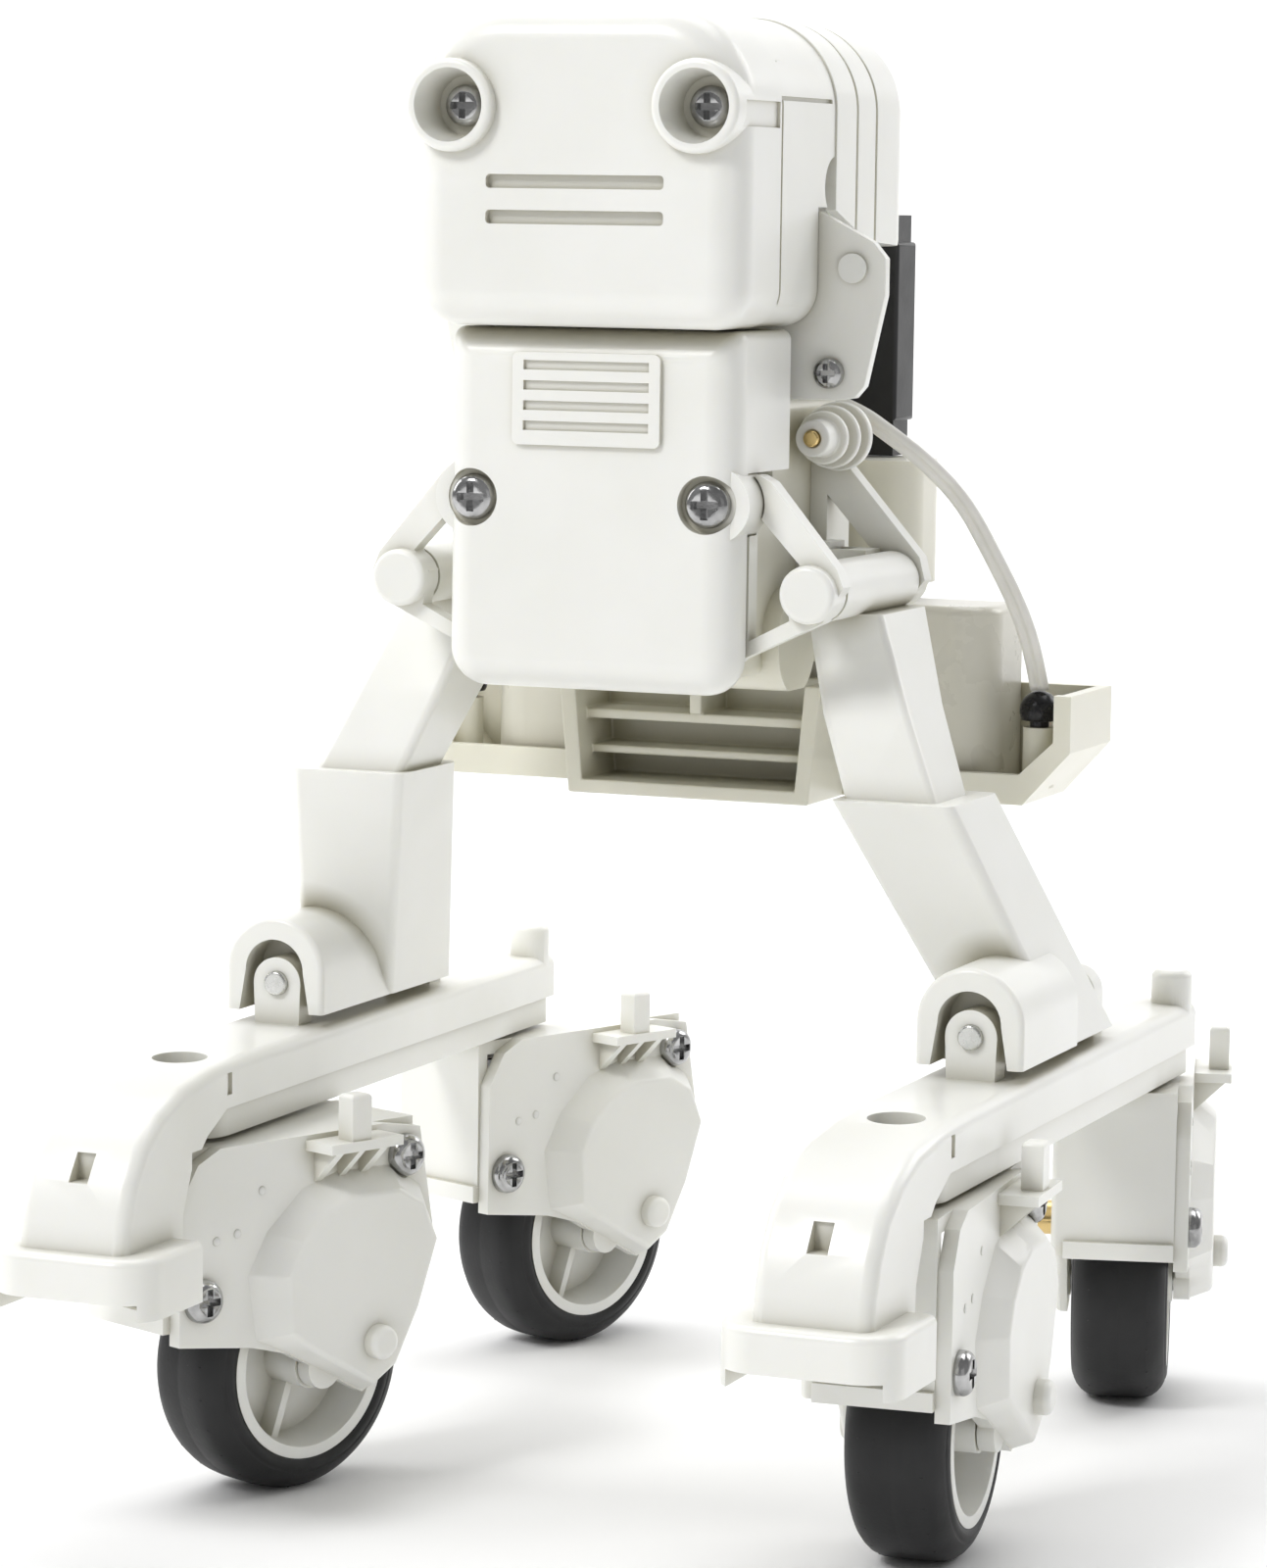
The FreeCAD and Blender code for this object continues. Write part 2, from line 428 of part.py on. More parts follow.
# ---- legs -----------------------------------------------------------------------------------
def thigh():
    s = loft([
        [(20.9, -17.5, 107.6), (30.6, -17.5, 107.6), (30.6, -1.0, 107.6), (20.9, -1.0, 107.6)],
        [(24.6, -21.6, 96.0), (35.6, -21.6, 96.0), (35.6, -8.0, 96.0), (24.6, -8.0, 96.0)],
        [(29.0, -24.4, 85.0), (40.6, -24.4, 85.0), (40.6, -12.6, 85.0), (29.0, -12.6, 85.0)],
    ])
    s = fillet(s, 1.0, lambda e, c: e.BoundBox.ZLength > 8, "thigh")
    s = fuse(s, cyly(HIP_X, HIP_Z, -26.35, -1.2, 3.5))
    horn = fuse(box(18.0, 24.5, YOKE_Y - 2.6, YOKE_Y + 2.6, 109.4, 114.4), box(18.0, 19.9, YOKE_Y - 2.6, YOKE_Y + 2.6, 108.8, 115.2))
    s = fuse(s, horn)
    s = cut(s, box(19.9, 22.0, YOKE_Y - 1.7, YOKE_Y + 1.7, YOKE_Z - 2.4, YOKE_Z + 2.4), cylx(YOKE_Y, YOKE_Z, 17, 20.5, 1.65))
    s = cut(s, cyly(HIP_X, HIP_Z, -27, 10, PIN_R + RUN))
    return s


def shin():
    out = [
        [(27.6, -26.3, 86.4), (42.6, -26.3, 86.4), (42.6, -9.0, 86.4), (27.6, -9.0, 86.4)],
        [(38.2, -6.0, 55.9), (51.0, -6.0, 55.9), (51.0, 13.4, 55.9), (38.2, 13.4, 55.9)],
    ]
    s = loft(out)
    s = fillet(s, 1.3, lambda e, c: e.BoundBox.ZLength > 20, "shin")
    s = cut(s, loft([
        [(31.0, -21.8, 83.0), (41.4, -21.8, 83.0), (41.4, -9.6, 83.0), (31.0, -9.6, 83.0)],
        [(36.6, -11.2, 67.5), (46.2, -11.2, 67.5), (46.2, 3.0, 67.5), (36.6, 3.0, 67.5)],
    ]))
    hood = fuse(cyly(ANKLE_X, 61.0, -25.2, -4.0, 6.6), box(ANKLE_X - 6.6, ANKLE_X + 6.6, -25.2, -4.0, 55.9, 61.0))
    hood = cut(hood, box(30, 60, -27, 0, 50, 55.9))
    hood = fillet(hood, 0.7, lambda e, c: abs(c.y + 25.2) < 1e-6 and c.z > 56, "hood")
    s = fuse(s, hood)
    cav = fuse(cyly(ANKLE_X, 61.0, -26, -20.4, 3.9), prism([(ANKLE_X - 3.9, 61), (ANKLE_X - 4.9, 55), (ANKLE_X + 4.9, 55), (ANKLE_X + 3.9, 61)], "xz", -26, -20.4))
    s = cut(s, cav, box(30, 60, 13.5, 30, 50, 70))
    s = cut(s, cyly(ANKLE_X, ANKLE_Z, -26, 14, PIN_R + RUN))
    return s


th_l = thigh()
sh_l = cut(shin(), th_l)
node("thigh_left", th_l)
node("shin_left", sh_l)
node("thigh_right", mirror_x(th_l))
node("shin_right", mirror_x(sh_l))


# ---- feet -----------------------------------------------------------------------------------
def deck(k):
    c, h = ANKLE_X, DECK_HALF
    prof = [(46.0, DECK_TOP), (46.0, DECK_BOT), (-51.5, DECK_BOT), (-56.4, 46.2), (-60.6, 42.6), (-62.6, 38.0), (-62.8, 35.0), (-77.4, 35.0), (-76.8, 39.0), (-75.2, 43.4), (-72.4, 47.4), (-68.0, 50.6), (-62.0, 52.8), (-54.0, 53.9), (-44.0, DECK_TOP)]
    s = prism(prof, "yz", c - h, c + h)
    s = fillet(s, 1.6, lambda e, q: (abs(q.x - (c - h)) < 1e-6 or abs(q.x - (c + h)) < 1e-6) and (q.z > 52.7 or q.z > 36 and q.y < -63.5), "deck")
    bum = box(c - 10.8, c + 10.3, -79.6, -65.0, 28.4, 35.6)
    bum = fillet(bum, 5.0, lambda e, q: e.BoundBox.ZLength > 6 and q.y < -79, "bumper corner")
    bum = fillet(bum, 1.0, lambda e, q: abs(q.z - 35.6) < 1e-6 and q.y < -70, "bumper top")
    bum = cut(bum, prism([(-80, 30.4), (-66.0, 30.4), (-64, 27), (-80, 27)], "yz", c - 9.2, c + 8.8))
    s = fuse(s, bum)
    hol = prism([(-51.5, 46.9), (-62.0, 47.0), (-69.5, 44.0), (-73.6, 39.0), (-74.4, 30.0), (-50, 30)], "yz", c - h + 1.7, c + h - 1.7)
    s = cut(s, hol)
    s = cut(s, cylz(c, PIVOT_F, 27.0, 44.85, 12.4))
    s = cut(s, cylz(c, PIVOT_F, 40, 60, 3.3))
    s = cut(s, box(c - 1.2, c + 1.2, -79, -72.6, 43.2, 46.4))
    xs = sorted((c + k * (h - 0.5), c + k * (h + 1)))
    s = cut(s, box(xs[0], xs[1], -51.4, -50.2, 50.2, 52.8))
    lug = fuse(cyly(c, ANKLE_Z, -24.4, -20.7, 3.2), prism([(c - 3.2, ANKLE_Z), (c - 2.9, 52.0), (c + 2.9, 52.0), (c + 3.2, ANKLE_Z)], "xz", -24.4, -20.7))
    lug2 = fuse(cyly(c, ANKLE_Z, 13.8, 17.2, 3.2), box(c - 3.2, c + 3.2, 13.8, 17.2, 52.0, ANKLE_Z))
    post = cylz(c + k * 4.4, 43.6, 52.0, 58.6, 2.6)
    post = fillet(post, 1.0, lambda e, q: abs(q.z - 58.6) < 1e-6, "post")
    s = fuse(s, lug, lug2, post)
    s = cut(s, cyly(c, ANKLE_Z, -25.5, 18, PIN_R))
    s = cut(s, box(c - h + 1.6, c + h - 1.6, -44.0, 31.0, 46, 52.4))
    s = fuse(s, box(c - h + 1.0, c + h - 1.0, -26.0, -19.0, 49.5, 53), box(c - h + 1.0, c + h - 1.0, 12.5, 18.5, 49.5, 53))
    s = cut(s, box(c - 5.95, c + 5.95, -53.4, -51.0, 44.0, DECK_BOT))
    return s


def rail():
    c = ANKLE_X
    s = box(c - 5.9, c + 5.9, -53.2, 46.0, RAIL_BOT, DECK_BOT)
    s = fillet(s, 4.0, lambda e, q: e.BoundBox.ZLength > 2 and q.y < -50, "rail")
    s = cut(s, cylz(c, PIVOT_F, 40, 50, PIN_R), cylz(c, PIVOT_R, 40, 50, PIN_R))
    s = cut(s, box(c - 3.6, c + 3.6, -42, 29, 46.5, 50))
    return s


def foot(k):
    d, r = deck(k), rail()
    pin = cyly(ANKLE_X, ANKLE_Z, -25.1, 17.8, PIN_R)
    pin = fillet(pin, 0.3, lambda e, q: abs(q.y + 25.1) < 1e-6, "pin")
    kp = []
    for y in (PIVOT_F, PIVOT_R):
        head = cylz(ANKLE_X, y, 40.6, 42.2, 2.8)
        head = fillet(head, 1.0, lambda e, q: abs(q.z - 40.6) < 1e-6, "king pin")
        kp.append(fuse(head, cylz(ANKLE_X, y, 42.2, 51.6, PIN_R)) if y == PIVOT_F else fuse(head, cylz(ANKLE_X, y, 42.2, 48.6, PIN_R)))
    nut = cut(cylz(ANKLE_X, PIVOT_F, DECK_BOT, 51.0, 2.7), cylz(ANKLE_X, PIVOT_F, 47, 52, PIN_R))
    kp = Part.makeCompound(kp)
    parts = [d, r, pin, kp, nut]
    if k < 0:
        parts = [mirror_x(p) for p in parts]
    return parts


for side, k in (("left", 1), ("right", -1)):
    d, r, pin, kp, nut = foot(k)
    node("deck_" + side, d)
    node("underframe_" + side, r)
    node("ankle_pin_" + side, pin)
    node("king_pins_" + side, Part.makeCompound(list(kp.Solids) + [nut]))


# ---- wheel units: local x = across, towards the cover; local y = trail; z = height -----------
def unit_parts():
    zt = 44.4
    fork = box(-7.0, 7.0, -6.0, 31.0, 42.6, zt)
    arm = prism([(-7.4, 23.0), (-7.4, zt), (30.0, zt), (31.5, 34.0), (26.0, 20.0), (19.0, 11.6), (12.0, 11.6), (6.0, 22.0)], "yz", -8.6, -7.0)
    fork = fuse(fork, arm, box(-7.0, 7.0, -7.4, -5.8, 24.0, 42.6), box(-7.0, 7.0, -7.4, -5.0, 42.6, zt))
    fork = fuse(fork, box(-7.0, 7.0, -8.2, -5.8, 22.8, 25.0))
    fork = fillet(fork, 0.8, lambda e, c: abs(c.x + 8.6) < 1e-6, "fork")
    fork = fuse(fork, cylx(TRAIL, TYRE_R, -9.6, -6.75, 2.6))
    fork = fuse(fork, box(3.4, 7.0, -6.0, -1.9, 24.4, 28.8))
    fork = fuse(fork, cylx(-4.6, 27.4, -10.6, -8.4, 2.2))
    fork = cut(fork, cylz(0, 0, 40, 46, PIN_R + RUN))
    fork = cut(fork, cylx(TRAIL, TYRE_R, -8.6, 8, PIN_R), cylx(-3.9, 26.6, 2.0, 8.0, 1.2))
    for y, z in ((28.0, 40.2),):
        fork = fuse(fork, box(2.6, 7.0, 25.6, 30.4, 37.8, 42.6))
        fork = cut(fork, cylx(y, z, 2.0, 8.0, 1.2))
    pl = [(-7.2, 21.4), (-7.0, 38.6), (-4.4, 42.8), (-1.0, zt), (24.5, zt), (30.6, 43.4), (33.0, 30.0), (29.6, 21.0), (25.6, 14.0), (21.4, 11.8), (9.6, 18.2), (4.0, 19.8)]
    cover = prism(pl, "yz", 7.0, 8.8)
    base = [(3.0, 28.6), (4.4, 20.6), (9.6, 18.3), (21.3, 12.0), (25.4, 14.3), (29.4, 21.2), (32.7, 30.0), (30.6, 36.4), (26.0, 39.4), (17.0, 39.6), (11.6, 38.2), (6.0, 33.6)]
    topf = [(7.6, 28.4), (8.0, 21.4), (11.2, 18.9), (20.9, 13.4), (24.4, 15.4), (28.0, 21.8), (31.0, 29.8), (28.8, 34.4), (24.8, 36.6), (17.6, 36.8), (13.2, 35.2), (9.6, 32.2)]
    b = loft([[(8.6, y, z) for y, z in base], [(11.8, y, z) for y, z in topf]])
    b = fillet(b, 0.9, lambda e, c: abs(c.x - 11.8) < 1e-6, "bulge")
    inn = loft([[(6.5, y * 0.9 + 1.9, z * 0.9 + 2.7) for y, z in base], [(10.4, y * 0.9 + 1.9, z * 0.9 + 2.7) for y, z in topf]])
    cover = fuse(cover, b)
    cover = cut(cover, cut(inn, box(6, 8.8, 12.0, 19.0, 11.0, 19.4)))
    cover = fuse(cover, cylx(TRAIL, TYRE_R, 6.75, 8.8, 2.6))
    boss = cylx(21.2, 18.6, 11.2, 13.7, 2.1)
    boss = fillet(boss, 0.9, lambda e, c: abs(c.x - 13.7) < 1e-6, "boss")
    tab = box(8.0, 13.6, 12.2, 23.6, 42.6, 43.8)
    g1 = prism([(8.6, 42.6), (13.0, 42.6), (8.6, 38.4)], "xz", 13.6, 14.8)
    g2 = prism([(8.6, 42.6), (13.0, 42.6), (8.6, 38.4)], "xz", 20.6, 21.8)
    g3 = prism([(8.6, 42.6), (13.0, 42.6), (8.6, 38.4)], "xz", 17.2, 18.2)
    peg = box(10.6, 13.2, 15.8, 18.8, 43.8, 49.4)
    peg = fillet(peg, 0.6, lambda e, c: abs(c.z - 49.4) < 1e-6, "peg")
    cover = fuse(cover, boss, tab, g1, g2, g3, peg)
    cover = cut(cover, cylx(TRAIL, TYRE_R, 0, 8.2, PIN_R))
    for y, z in ((-3.9, 26.6), (28.0, 40.2)):
        cover = cut(cover, cylx(y, z, 6, 9.4, 1.3), cylx(y, z, 8.8, 12.5, 2.8))
    hw = []
    for y, z in ((-3.9, 26.6), (28.0, 40.2)):
        sc = screw(0, 0, 0, head_r=2.6, head_h=1.7, shank_r=1.2, length=6.2)
        sc.rotate(V(0, 0, 0), V(0, 0, 1), 90)
        sc.translate(V(8.8 + 1.7, y, z))
        hw.append(sc)
    hw.append(cylx(TRAIL, TYRE_R, -8.6, 8.15, PIN_R))
    ty = cylx(TRAIL, TYRE_R, -TYRE_W / 2, TYRE_W / 2, TYRE_R)
    ty = fillet(ty, 2.9, lambda e, c: abs(abs(c.x) - TYRE_W / 2) < 1e-6, "tyre")
    ty = cut(ty, cylx(TRAIL, TYRE_R, -10, 10, RIM_R))
    hub = cylx(TRAIL, TYRE_R, -6.1, 6.1, RIM_R)
    hub = cut(hub, Part.makeCone(9.2, 10.2, 5.4, V(0.8, TRAIL, TYRE_R), V(1, 0, 0)), Part.makeCone(9.2, 10.2, 5.4, V(-0.8, TRAIL, TYRE_R), V(-1, 0, 0)))
    hub = fuse(hub, cylx(TRAIL, TYRE_R, -6.6, 6.6, 2.9))
    for i in range(3):
        r = box(-3.4, 3.4, -0.5, 0.5, 2.5, 9.9)
        r.rotate(V(0, 0, 0), V(1, 0, 0), 120 * i + 40)
        r.translate(V(0, TRAIL, TYRE_R))
        hub = fuse(hub, r)
    hub = cut(hub, cylx(TRAIL, TYRE_R, -10, 10, PIN_R + RUN))
    return {"fork": fork, "cover": cover, "hardware": Part.makeCompound(hw), "tyre": ty, "hub": hub}


UNIT = unit_parts()
PIVOTS = {"front_left": (ANKLE_X, PIVOT_F), "front_right": (-ANKLE_X, PIVOT_F), "rear_left": (ANKLE_X, PIVOT_R), "rear_right": (-ANKLE_X, PIVOT_R)}
for pos, (px, py) in PIVOTS.items():
    for part, s in UNIT.items():
        q = s.copy()
        q.rotate(V(0, 0, 0), V(0, 0, 1), -SWIVEL[pos])
        q.translate(V(px, py, 0))
        node({"fork": "fork_", "cover": "fork_cover_", "hardware": "fork_hardware_", "tyre": "tyre_", "hub": "wheel_hub_"}[part] + pos, q)

# ---- write ------------------------------------------------------------------------------------
bbx = FreeCAD.BoundBox()
for s in NODES.values():
    bbx.add(s.optimalBoundingBox(False, False))
DX, DY, DZ = -(bbx.XMin + bbx.XMax) / 2, -(bbx.YMin + bbx.YMax) / 2, -bbx.ZMin
os.makedirs("parts", exist_ok=True)
for name, s in NODES.items():
    s = s.copy()
    s.translate(V(DX, DY, DZ))
    ok = s.isValid() and all(q.isClosed() for q in s.Shells) and len(s.Solids) > 0
    if not ok or s.ShapeType not in ("Solid", "Compound"):
        print("CHECK", name, s.ShapeType, s.isValid(), len(s.Solids))
    if s.ShapeType == "Compound" and len(s.Solids) == 1:
        s = s.Solids[0]
    s.exportStep("parts/" + name + ".step")
print("nodes", len(NODES), "shift", round(DX, 4), round(DY, 4), round(DZ, 4), "box", [round(v, 2) for v in (bbx.XLength, bbx.YLength, bbx.ZLength)])
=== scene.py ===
import json
import math

import bmesh
import bpy
from mathutils import Matrix, Vector


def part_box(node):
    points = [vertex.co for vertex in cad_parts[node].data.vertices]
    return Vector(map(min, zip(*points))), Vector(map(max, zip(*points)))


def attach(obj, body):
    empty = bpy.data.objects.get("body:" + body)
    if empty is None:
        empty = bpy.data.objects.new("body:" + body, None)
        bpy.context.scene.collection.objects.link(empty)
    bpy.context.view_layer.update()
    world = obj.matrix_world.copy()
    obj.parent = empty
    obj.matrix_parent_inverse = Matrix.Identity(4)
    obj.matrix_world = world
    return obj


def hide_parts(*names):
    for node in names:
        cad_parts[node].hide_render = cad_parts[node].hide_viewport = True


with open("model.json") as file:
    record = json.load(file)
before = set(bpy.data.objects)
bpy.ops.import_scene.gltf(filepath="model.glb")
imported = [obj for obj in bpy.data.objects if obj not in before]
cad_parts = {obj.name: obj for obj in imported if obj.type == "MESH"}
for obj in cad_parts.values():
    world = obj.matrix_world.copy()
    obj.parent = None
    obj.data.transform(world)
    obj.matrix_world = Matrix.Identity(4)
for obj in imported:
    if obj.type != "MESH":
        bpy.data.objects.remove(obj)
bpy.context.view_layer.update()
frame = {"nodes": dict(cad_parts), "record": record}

# ---- shared numbers, metres, in the CAD frame ---------------------------------------------
_lo, _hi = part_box("hip_pins")
DX = (_lo.x + _hi.x) * 500.0
DY = _lo.y * 1000.0 + 30.0
DZ = 0.0


def P(x, y, z):
    return Vector(((x + DX) / 1000.0, (y + DY) / 1000.0, (z + DZ) / 1000.0))


NODES = frame["nodes"]

# ---- camera -------------------------------------------------------------------------------
cam_pos = P(228.46, -576.86, 154.51)
yaw, pitch, roll = math.radians(22.28), math.radians(6.48), math.radians(0.78)
back = Vector((math.sin(yaw) * math.cos(pitch), -math.cos(yaw) * math.cos(pitch), math.sin(pitch)))
right = Vector((math.cos(yaw), math.sin(yaw), 0))
up = back.cross(right)
r2 = right * math.cos(roll) + up * math.sin(roll)
u2 = up * math.cos(roll) - right * math.sin(roll)
cam_data = bpy.data.cameras.new("cam")
cam = bpy.data.objects.new("cam", cam_data)
bpy.context.scene.collection.objects.link(cam)
m = Matrix.Identity(4)
for i in range(3):
    m[i][0], m[i][1], m[i][2], m[i][3] = r2[i], u2[i], back[i], cam_pos[i]
cam.matrix_world = m
cam_data.sensor_fit = "VERTICAL"
cam_data.sensor_height = 36.0
cam_data.lens = 36.0 * 5151.0 / 1600.0
cam_data.clip_start = 0.01
cam_data.clip_end = 20
bpy.context.scene.camera = cam


# ---- materials ----------------------------------------------------------------------------
def new_mat(name):
    mat = bpy.data.materials.new(name)
    mat.use_nodes = True
    nt = mat.node_tree
    for n in list(nt.nodes):
        nt.nodes.remove(n)
    out = nt.nodes.new("ShaderNodeOutputMaterial")
    b = nt.nodes.new("ShaderNodeBsdfPrincipled")
    nt.links.new(b.outputs[0], out.inputs[0])
    return mat, nt, b


def mottled(name, dark, light, rough, scale=60.0, grain=1400.0, bump=0.05, metallic=0.0, coat=0.0, sss=0.0, stretch=(1, 1, 1), painted_corner_shade=None, specular=0.5, coat_rough=0.2):
    """colour drift from a broad noise, roughness drift from a second one, and a fine grain in the bump"""
    mat, nt, b = new_mat(name)
    n, l = nt.nodes, nt.links
    tc = n.new("ShaderNodeTexCoord")
    mp = n.new("ShaderNodeMapping")
    mp.inputs["Scale"].default_value = stretch
    l.new(tc.outputs["Object"], mp.inputs["Vector"])
    broad = n.new("ShaderNodeTexNoise")
    broad.inputs["Scale"].default_value = scale
    broad.inputs["Detail"].default_value = 3
    l.new(mp.outputs[0], broad.inputs["Vector"])
    ramp = n.new("ShaderNodeValToRGB")
    ramp.color_ramp.elements[0].position, ramp.color_ramp.elements[1].position = 0.3, 0.7
    ramp.color_ramp.elements[0].color = (*dark, 1)
    ramp.color_ramp.elements[1].color = (*light, 1)
    l.new(broad.outputs["Fac"], ramp.inputs["Fac"])
    col = ramp.outputs["Color"]
    if painted_corner_shade:
        # painted shade: the colour is pulled towards a darker tone where ambient occlusion finds corners, creases
        # and grooves
        ao = n.new("ShaderNodeAmbientOcclusion")
        ao.inputs["Distance"].default_value = 0.0035
        ao.samples = 6
        mix = n.new("ShaderNodeMix")
        mix.data_type = "RGBA"
        inv = n.new("ShaderNodeMapRange")
        inv.inputs["From Min"].default_value = 0.25
        inv.inputs["From Max"].default_value = 0.95
        inv.inputs["To Min"].default_value = 1.0
        inv.inputs["To Max"].default_value = 0.0
        l.new(ao.outputs["AO"], inv.inputs["Value"])
        l.new(inv.outputs[0], mix.inputs["Factor"])
        l.new(col, mix.inputs["A"])
        mix.inputs["B"].default_value = (*painted_corner_shade, 1)
        col = mix.outputs["Result"]
    l.new(col, b.inputs["Base Color"])
    rn = n.new("ShaderNodeTexNoise")
    rn.inputs["Scale"].default_value = scale * 3.1
    rn.inputs["Detail"].default_value = 5
    l.new(mp.outputs[0], rn.inputs["Vector"])
    mr = n.new("ShaderNodeMapRange")
    mr.inputs["To Min"].default_value = rough[0]
    mr.inputs["To Max"].default_value = rough[1]
    l.new(rn.outputs["Fac"], mr.inputs["Value"])
    l.new(mr.outputs[0], b.inputs["Roughness"])
    g = n.new("ShaderNodeTexNoise")
    g.inputs["Scale"].default_value = grain
    g.inputs["Detail"].default_value = 2
    l.new(mp.outputs[0], g.inputs["Vector"])
    bp = n.new("ShaderNodeBump")
    bp.inputs["Strength"].default_value = bump
    bp.inputs["Distance"].default_value = 0.00006
    l.new(g.outputs["Fac"], bp.inputs["Height"])
    l.new(bp.outputs[0], b.inputs["Normal"])
    b.inputs["Metallic"].default_value = metallic
    b.inputs["Coat Weight"].default_value = coat
    b.inputs["Coat Roughness"].default_value = coat_rough
    b.inputs["Specular IOR Level"].default_value = specular
    if sss:
        b.inputs["Subsurface Weight"].default_value = sss
        b.inputs["Subsurface Radius"].default_value = (1.0, 0.9, 0.62)
        b.inputs["Subsurface Scale"].default_value = 0.0012
    return mat


M = {}
# the last colour given to each ivory finish is its painted shade for corners and grooves
M["abs"] = mottled("ivory_abs_plastic", (0.845, 0.845, 0.80), (0.89, 0.89, 0.855), (0.25, 0.36), 45, 1600, 0.06, coat=0.12, sss=0.14, painted_corner_shade=(0.52, 0.50, 0.41), specular=0.5)
# darker tan copy of the ivory ABS: painted shade for parts set back behind or under the body
M["shade_painted_abs"] = mottled("ivory_abs_painted_shade", (0.78, 0.765, 0.66), (0.83, 0.815, 0.72), (0.26, 0.37), 45, 1600, 0.06, coat=0.12, sss=0.16, painted_corner_shade=(0.42, 0.39, 0.26))
# a still darker copy of the ivory ABS: painted shade for the battery cover
M["cover_shade_painted_abs"] = mottled("ivory_abs_battery_cover_painted_shade", (0.66, 0.645, 0.56), (0.71, 0.69, 0.61), (0.22, 0.34), 45, 1600, 0.06, coat=0.2, sss=0.1, painted_corner_shade=(0.36, 0.33, 0.25))
M["black"] = mottled("black_moulded_case", (0.010, 0.010, 0.011), (0.018, 0.018, 0.019), (0.32, 0.5), 80, 1800, 0.25)
M["rubber"] = mottled("tyre_rubber", (0.004, 0.004, 0.0045), (0.011, 0.011, 0.012), (0.40, 0.58), 90, 2200, 0.35, specular=0.45)
M["screw"] = mottled("dark_nickel_screw", (0.30, 0.30, 0.30), (0.55, 0.55, 0.55), (0.10, 0.22), 400, 3000, 0.12, metallic=1.0)
M["steel"] = mottled("steel_pin", (0.55, 0.56, 0.53), (0.68, 0.68, 0.66), (0.18, 0.36), 300, 2600, 0.15, metallic=1.0, stretch=(1, 0.1, 1))
M["blackscrew"] = mottled("black_oxide_screw", (0.012, 0.012, 0.013), (0.03, 0.03, 0.032), (0.2, 0.36), 400, 3000, 0.15, metallic=0.6)
M["brass"] = mottled("brass_insert", (0.72, 0.52, 0.22), (0.83, 0.63, 0.30), (0.16, 0.30), 300, 2600, 0.12, metallic=1.0)
M["can"] = mottled("motor_can_steel", (0.50, 0.50, 0.49), (0.64, 0.64, 0.63), (0.24, 0.4), 160, 1500, 0.2, metallic=1.0, stretch=(0.1, 1, 1))
M["gear"] = mottled("acetal_gear", (0.80, 0.79, 0.74), (0.86, 0.85, 0.80), (0.34, 0.5), 200, 1800, 0.1, sss=0.15)
M["lead"] = mottled("white_vinyl_lead", (0.80, 0.79, 0.75), (0.87, 0.86, 0.82), (0.30, 0.42), 200, 1500, 0.1, coat=0.1, sss=0.1)
M["cell"] = mottled("cell_shrink_sleeve", (0.05, 0.07, 0.075), (0.08, 0.11, 0.115), (0.16, 0.26), 120, 1500, 0.1, coat=0.5)

SLOT = {"ivory_abs": "abs", "black_plastic": "black", "dark_screw": "screw", "steel_pin": "steel", "motor_can": "can", "gear_acetal": "gear", "tyre_rubber": "rubber", "lead_jacket": "lead", "cell_wrap": "cell", "brass_shaft": "brass"}
rec_slot = {s["node"]: s["material_slot"] for s in frame["record"]["subparts"]}
# painted shade: these ivory parts get the darker copies of the ivory finish
BY_NODE = {"battery_cover": "cover_shade_painted_abs", "battery_tray": "shade_painted_abs", "belly_box": "shade_painted_abs", "gearbox_case": "shade_painted_abs", "gearbox_cover": "shade_painted_abs", "terminal_screws": "blackscrew", "rear_housing": "shade_painted_abs"}

# ---- CAD nodes: welded, edge-rounded and given their finish ----------------------------------
BEVEL = {"front_screws": 0.00012, "terminal_screws": 0.00012, "wing_fasteners": 0.0001}
for name, ob in NODES.items():
    mat = M[BY_NODE.get(name, SLOT[rec_slot[name]])]
    ob.data.materials.clear()
    ob.data.materials.append(mat)
    if name.startswith(("tyre_", "power_lead")):
        continue
    w = ob.modifiers.new("weld", "WELD")
    w.merge_threshold = 0.00001
    dm = ob.modifiers.new("join_coplanar", "DECIMATE")
    dm.decimate_type = "DISSOLVE"
    dm.angle_limit = math.radians(0.4)
    bv = ob.modifiers.new("soft_edges", "BEVEL")
    bv.width = 0.00011 if name.startswith(("fork_hardware", "king", "motor", "reduction", "crank")) else BEVEL.get(name, 0.00028)
    bv.segments = 2
    bv.limit_method = "ANGLE"
    bv.angle_limit = math.radians(32)
    bv.harden_normals = False
    bv.use_clamp_overlap = True
    wn = ob.modifiers.new("flat_faces", "WEIGHTED_NORMAL")
    wn.mode = "FACE_AREA"
    wn.weight = 100
    for at in ("custom_normal", "sharp_edge", "sharp_face"):
        if ob.data.attributes.get(at):
            ob.data.attributes.remove(ob.data.attributes[at])
    for p in ob.data.polygons:
        p.use_smooth = True
for p in NODES["wing_fasteners"].data.polygons:
    if p.center.z > 0.142:
        p.material_index = 1
NODES["wing_fasteners"].data.materials.append(M["abs"])


def link(ob, body, mat):
    bpy.context.scene.collection.objects.link(ob)
    ob.data.materials.append(mat)
    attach(ob, body)
    return ob


def mesh_from(bm, name):
    bmesh.ops.recalc_face_normals(bm, faces=bm.faces[:])
    me = bpy.data.meshes.new(name)
    bm.to_mesh(me)
    bm.free()
    for p in me.polygons:
        p.use_smooth = True
    return bpy.data.objects.new(name, me)


# ---- tyres: lathed slick with a mould line, shoulder rings, sidewall bead and short tread ticks
TRAIL, TYRE_R, TYRE_W, RIM_R = 15.5, 15.7, 12.4, 11.6
SWIVEL = {"front_left": -4.0, "front_right": 23.0, "rear_left": -15.0, "rear_right": 22.0}
PIV = {"front_left": (45.0, -50.2), "front_right": (-45.0, -50.2), "rear_left": (45.0, 38.0), "rear_right": (-45.0, 38.0)}


